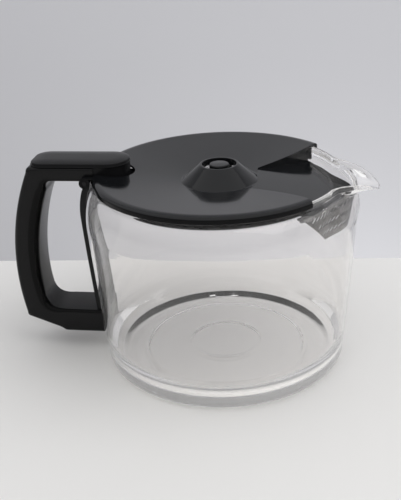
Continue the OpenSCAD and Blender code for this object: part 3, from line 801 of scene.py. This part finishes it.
floor_plan = floor_edge[0] + arc_points(0, 0, TONGUE_R, *floor_ends, 60) + floor_edge[1][::-1]
floor = slab("floor", floor_plan, lambda x, y: floor_top(x, y) - LID_WALL, floor_top)
walls = [slab("valley_wall",
              valley_side(s, 0, TONGUE_R) + valley_side(s, LID_WALL, TONGUE_R)[::-1],
              lambda x, y: floor_top(x, y) - LID_WALL / 2,
              lambda x, y: deck_top(x, y) - LID_WALL / 2) for s in (-1, 1)]
worked(shell, [floor] + walls, "UNION")
print("shell:", len(shell.data.polygons), "faces")

# %% [markdown]
# ## What stands in the cone and hangs under the lid
# In the hole of the cone stands a post on three ribs, so that coffee drips in round it. A plug ring
# under the deck keeps the lid in the middle of the neck, and a thin ledge in front of the valley
# follows the throat of the spout. They could be objects of their own, but the real lid is one
# moulding, so they are made as solids and joined to it.

# %% Post, plug and ledge of the lid
POST_Z, RIB_Z, RIB_TOP_Z, RIB_FROM, RIB_TO, RIB_HALF = 104.3, 104.4, 108.6, 0.5, 10.6, 0.6
PLUG_CUT, APRON_PULL, APRON_A, APRON_PLAY, LEDGE_IN, LEDGE_T = 13.8, 7.5, 44.0, 0.1, 0.75, 0.8
post = turned("post", fillet([(CENTRE_R, POST_Z, 0), (POST_R, POST_Z, 0),
                              (POST_R, CONE_TOP_Z - 0.1, 0.8), (CENTRE_R, CONE_TOP_Z, 0)]), 96)
ribs = []
for angle in (60, 180, 300):
    c, s = math.cos(math.radians(angle)), math.sin(math.radians(angle))
    bar = box_outline(RIB_FROM, -RIB_HALF, RIB_TO, RIB_HALF)
    ribs.append(slab("rib", [(u * c - v * s, u * s + v * c) for u, v in bar], RIB_Z, RIB_TOP_Z))
plug = turned("plug", [(PLUG_R - LID_WALL, PLUG_Z), (PLUG_R, PLUG_Z),
                       (PLUG_R, UNDER_Z + OVERLAP), (PLUG_R - LID_WALL, UNDER_Z + OVERLAP)])
plug_back = box_outline(-FAR, -PLUG_CUT, 0, PLUG_CUT)
worked(plug, [slab("cut_front", valley_plan(), CUT_LOW, CUT_HIGH),
              slab("cut_back", plug_back, CUT_LOW, CUT_HIGH)], "DIFFERENCE")


def apron_radius(a, play):
    """Radius at an angle of an edge that goes round the plug and follows the spout's throat."""
    return PLUG_R - play + APRON_PULL * pull(a)


def apron_line(inset):
    out = []
    for a in np.linspace(-APRON_A, APRON_A, 89):
        r = apron_radius(a, APRON_PLAY) - inset
        out.append((r * math.cos(math.radians(a)), r * math.sin(math.radians(a))))
    return out


ledge_back = arc_points(0, 0, TONGUE_R - LID_WALL, APRON_A, -APRON_A, 60)
ledge = slab("ledge", apron_line(LEDGE_IN) + ledge_back, TONGUE_Z - LEDGE_T, TONGUE_Z)
print("ribs:", len(ribs))

# %% [markdown]
# ## Hinge and finish of the lid
# Two ears at the back of the lid hold the hinge pin, and the notch between them leaves room for the
# nose of the handle's cover. The hole for the pin could be left out of a picture, but it is cut,
# because the pin keeps its own solid and lies in it.

# %% Hinge ears, notch for the nose, and finish of the lid
HINGE_X, HINGE_Z, BORE_R, BORE_REACH = 71.0, 105, 1.15, 20
EAR_W, EAR_R, EAR_END_X, EAR_STOP_A = 3.0, 3.0, -62.2, 407.2
GAP, NOSE_X, NOTCH_GAP = 0.4, 48.6, 2.0
NOTCH_R = HANDLE_W / 2 + GAP
ear_outline = arc_points(-HINGE_X, HINGE_Z, EAR_R, 90, EAR_STOP_A, 40)
ear_outline += [(EAR_END_X, UNDER_Z), (EAR_END_X, HINGE_Z + EAR_R)]
ears = [slab("ear", ear_outline, y, y + EAR_W, upright=True) for y in (NOTCH_R, -NOTCH_R - EAR_W)]
worked(shell, [post] + ribs + [plug, ledge] + ears, "UNION")
notch_x = -(NOSE_X - NOTCH_GAP + NOTCH_R)
notch_plan = arc_points(notch_x, 0, NOTCH_R, -90, 90, 48) + [(-FAR, NOTCH_R), (-FAR, -NOTCH_R)]
notch = slab("notch", notch_plan, CUT_LOW - 10, CUT_HIGH + 10)
bore_ring = arc_points(-HINGE_X, HINGE_Z, BORE_R, 0, 354, 60)
bore = slab("bore", bore_ring, -BORE_REACH, BORE_REACH, upright=True)
worked(shell, [notch, bore], "DIFFERENCE")
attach(shell, "lid")
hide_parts("lid")
shell.data.materials.clear()
shell.data.materials.append(moulded("polypropylene_lid", "#101113", 0.1, 1.2, 0.02, ior=1.39))
# The turned-down brim and the ledge get a duller copy of the polished deck's plastic, darker and
# with weaker reflections: painted shade that darkens the side of the brim, and the ledge with it.
shell.data.materials.append(moulded("polypropylene_brim_painted_shade", "#060607", 0.2, 1.2, 0.02, ior=1.22))
BRIM_DEEP, STEEP, LEVEL_PLAY, FLAT = 0.3, 0.35, 0.05, 0.999
for face in shell.data.polygons:
    at, normal = face.center, face.normal
    on_brim = math.hypot(at.x, at.y) > (LID_R - BRIM_DEEP) * MM and abs(normal.z) < STEEP
    on_ledge = abs(at.z - TONGUE_Z * MM) < LEVEL_PLAY * MM and normal.z > FLAT
    face.material_index = int(on_brim or on_ledge)
print("lid:", len(shell.data.polygons), "faces")

# %% [markdown]
# ## Cover of the handle
# A separate slab closes the top of the upper arm, and its round nose gives the thumb a place over
# the lid. It is moulded of the same material as the handle, and a screw from below holds it down.
# It is built as a stack of outlines, so that its top edge is a wide soft bevel that catches the
# light.

# %% Cover shape
COVER_TOP, COVER_ROUND, LEAST_ROUND, BRIDGE_X, BRIDGE_Z = 115.2, 8.0, 0.4, -66.65, 107.4
SHIELD_Z, SHIELD_HALF, SHIELD_MORE = 102.5, 13.4, 4
COVER_BACK = grip_line(ARM_TOP, GRIP_R)


def cover_outline(inset):
    """Outline of the slab: the round nose, then the two corners at the back."""
    w = HANDLE_W / 2
    r = max(COVER_ROUND - inset, LEAST_ROUND)
    back = COVER_BACK + inset + r
    return (arc_points(-NOSE_X - w, 0, w - inset, 90, -90, 48) +
            arc_points(back, r - w + inset, r, -90, -180, 12) +
            arc_points(back, w - inset - r, r, 180, 90, 12))


# Pairs of inset and height, from the seam on the arm up over the crowned top.
rings = [(0.2, ARM_TOP), (0.0, ARM_TOP + 0.2), (0.0, ARM_TOP + 0.45), (0.35, ARM_TOP + 0.6),
         (0.45, ARM_TOP + 0.8), (0.5, ARM_TOP + 1.5), (0.6, ARM_TOP + 1.75), (0.8, ARM_TOP + 1.9),
         (1.1, ARM_TOP + 1.97), (2.5, ARM_TOP + 2.2), (4.2, ARM_TOP + 2.42), (6.2, ARM_TOP + 2.55),
         (8.0, COVER_TOP)]
stack = [[(x * MM, y * MM, z * MM) for x, y in cover_outline(inset)] for inset, z in rings]
cover = tidy_normals(skin("cover_moulding", stack))
NECK_IN = NECK_R - WALL - GAP


def within_neck(z0, z1, w, tip, name):
    """Round-nosed slab that reaches back as far as the inside of the neck lets it."""
    back = -math.sqrt(NECK_IN ** 2 - SHIELD_HALF ** 2)
    nose = [p for p in arc_points(-tip - w, 0, w, 90, -90, 48) if p[0] >= back]
    return slab(name, nose + [(back, nose[-1][1]), (back, nose[0][1])], z0, z1)


nose_w = HANDLE_W / 2 - GAP
bridge_plan = box_outline(BRIDGE_X, -nose_w, EAR_END_X, nose_w)
worked(cover, [within_neck(SHIELD_Z, ARM_TOP + OVERLAP, nose_w, NOSE_X + GAP, "nose"),
               slab("bridge", bridge_plan, BRIDGE_Z, ARM_TOP + OVERLAP),
               within_neck(SHIELD_Z, SHIELD_Z + LID_WALL, SHIELD_HALF,
                           NOSE_X - NOTCH_GAP - SHIELD_MORE, "shield")], "UNION")
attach(cover, "jug")
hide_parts("handle_cover")
cover.data.materials.clear()
charcoal = moulded("phenolic_charcoal_satin", "#131314", 0.14, 0.6, 0.03, ior=1.21)
cover.data.materials.append(charcoal)
print("cover:", len(cover.data.polygons), "faces")

# %% [markdown]
# ## Strainer
# A thin stainless sheet hangs in front of the pouring valley and keeps grounds back. The real part
# can be stamped flat, with its rows of slanted slots punched in one stroke, and then bent to the
# throat of the spout. The slots are cut right through the mesh, because light shows through them.

# %% Sheet of the strainer
SHEET_T, SHEET_Z, SHEET_LOW_A, SHEET_LEAN, SHEET_PLAY = 0.4, 79.0, 22.0, 2.2, 0.15


def sheet_point(a, z, inset):
    """Point of the sheet, which leans inwards towards its lower edge."""
    lean = SHEET_LEAN * (TONGUE_Z - z) / (TONGUE_Z - SHEET_Z)
    r = apron_radius(a, SHEET_PLAY) - lean - inset
    return (r * math.cos(math.radians(a)) * MM, r * math.sin(math.radians(a)) * MM, z * MM)


def end_angle(z):
    """Angle at which the sheet ends, wider at the top than at the bottom."""
    return SHEET_LOW_A + (APRON_A - SHEET_LOW_A) * (z - SHEET_Z) / (TONGUE_Z - SHEET_Z)


ACROSS, UP = 90, 12
sheet_verts = [sheet_point(v * end_angle(z), z, inset) for inset in (0, SHEET_T)
               for z in np.linspace(SHEET_Z, TONGUE_Z, UP) for v in np.linspace(-1, 1, ACROSS)]
one_side = ACROSS * UP
cells = [i * ACROSS + j for i in range(UP - 1) for j in range(ACROSS - 1)]
sheet_faces = [(k, k + 1, k + ACROSS + 1, k + ACROSS) for k in cells]
sheet_faces += [tuple(one_side + k for k in face[::-1]) for face in sheet_faces]
rim = ([j for j in range(ACROSS)] + [i * ACROSS + ACROSS - 1 for i in range(1, UP)] +
       [one_side - 2 - j for j in range(ACROSS - 1)] + [i * ACROSS for i in range(UP - 2, 0, -1)])
sheet_faces += [(a, b, b + one_side, a + one_side) for a, b in zip(rim, rim[1:] + rim[:1])]
sheet = tidy_normals(mesh_object("strainer_sheet", sheet_verts, sheet_faces))
print("sheet:", len(sheet_faces), "faces")

# %% Slots and flange of the strainer
SLOT_LONG, SLOT_WIDE, SLOT_SLANT = 1.4, 0.7, math.radians(41)
SLOT_ROWS, ROW_DOWN, ROW_STEP, SLOT_FAR_A, SLOT_STEP_A = 3, 3.0, 5.7, 36, 3.0
PUNCH_FROM, PUNCH_TO = -6, 4
FLANGE_IN, FLANGE_BACK, FLANGE_Z, FLANGE_TOP_Z = 0.3, 2.3, 96.5, 97.1
BOX_FACES = ((0, 3, 2, 1), (4, 5, 6, 7), (0, 1, 5, 4), (1, 2, 6, 5), (2, 3, 7, 6), (3, 0, 4, 7))


def slot_punch(a, z):
    """Corners of the punch for one slot, whose top leans towards the middle of the spout."""
    along_z, along_y = math.cos(SLOT_SLANT), math.sin(SLOT_SLANT) * (-1 if a > 0 else 1)
    c, s = math.cos(math.radians(a)), math.sin(math.radians(a))
    corners = []
    for r in (apron_radius(a, 0) + depth for depth in (PUNCH_FROM, PUNCH_TO)):
        for u, v in box_outline(-SLOT_LONG, -SLOT_WIDE, SLOT_LONG, SLOT_WIDE):
            y, up_z = u * along_y + v * along_z, u * along_z - v * along_y
            corners.append(((r * c - y * s) * MM, (r * s + y * c) * MM, (z + up_z) * MM))
    return corners


punches, punch_faces = [], []
for slot_row in range(SLOT_ROWS):
    z = TONGUE_Z - ROW_DOWN - slot_row * ROW_STEP
    for a in np.arange(-SLOT_FAR_A, SLOT_FAR_A + 1, SLOT_STEP_A):
        if abs(a) + SLOT_STEP_A / 2 < end_angle(z):
            punch_faces += [tuple(len(punches) + k for k in face) for face in BOX_FACES]
            punches += slot_punch(a, z)
punch = tidy_normals(mesh_object("punch", punches, punch_faces, smooth=False))
worked(sheet, [punch], "DIFFERENCE")
flange_plan = apron_line(FLANGE_IN) + apron_line(FLANGE_BACK)[::-1]
flange = slab("flange", flange_plan, FLANGE_Z, FLANGE_TOP_Z)
worked(sheet, [flange], "UNION")
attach(sheet, "lid")
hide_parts("strainer")
print("strainer:", len(punch_faces) // len(BOX_FACES), "slots")

# %% [markdown]
# ## Steel
# The strainer is stainless sheet, punched and then polished, so it mirrors the room with a slight
# blur along the rolling. The pin is drawn wire, blackened, and the screw is bright zinc plate.

# %% Steel finish
# The streaks are this many times as long as they are thick.
STREAK_LONG = 12


def steel_finish(name, hex_colour, roughness, streak_mm):
    material = new_material(name)
    place = add_node(material, "ShaderNodeTexCoord").outputs["Object"]
    squeeze = add_node(material, "ShaderNodeMapping", {"Scale": (1.0, 1.0, STREAK_LONG)},
                       Vector=place)
    streak = add_node(material, "ShaderNodeTexNoise",
                      {"Scale": 1 / (STREAK_LONG * streak_mm * MM), "Detail": 3.0},
                      Vector=squeeze.outputs["Vector"])
    gloss = add_node(material, "ShaderNodeMapRange",
                     {"To Min": roughness * 0.7, "To Max": roughness * 1.4},
                     Value=streak.outputs["Fac"])
    surface = add_node(material, "ShaderNodeBsdfPrincipled",
                       {"Base Color": linear(hex_colour), "Metallic": 1.0},
                       Roughness=gloss.outputs["Result"])
    return finish_material(material, surface.outputs["BSDF"])


sheet.data.materials.clear()
sheet.data.materials.append(steel_finish("polished_stainless_sheet", "#747373", 0.12, 0.3))
dress("hinge_pin", steel_finish("blackened_wire", "#2A2A2B", 0.35, 0.2))
dress("cover_screw", steel_finish("zinc_plated_steel", "#B9BABC", 0.3, 0.2))
print("steel:", len(sheet.data.polygons), "faces of sheet")
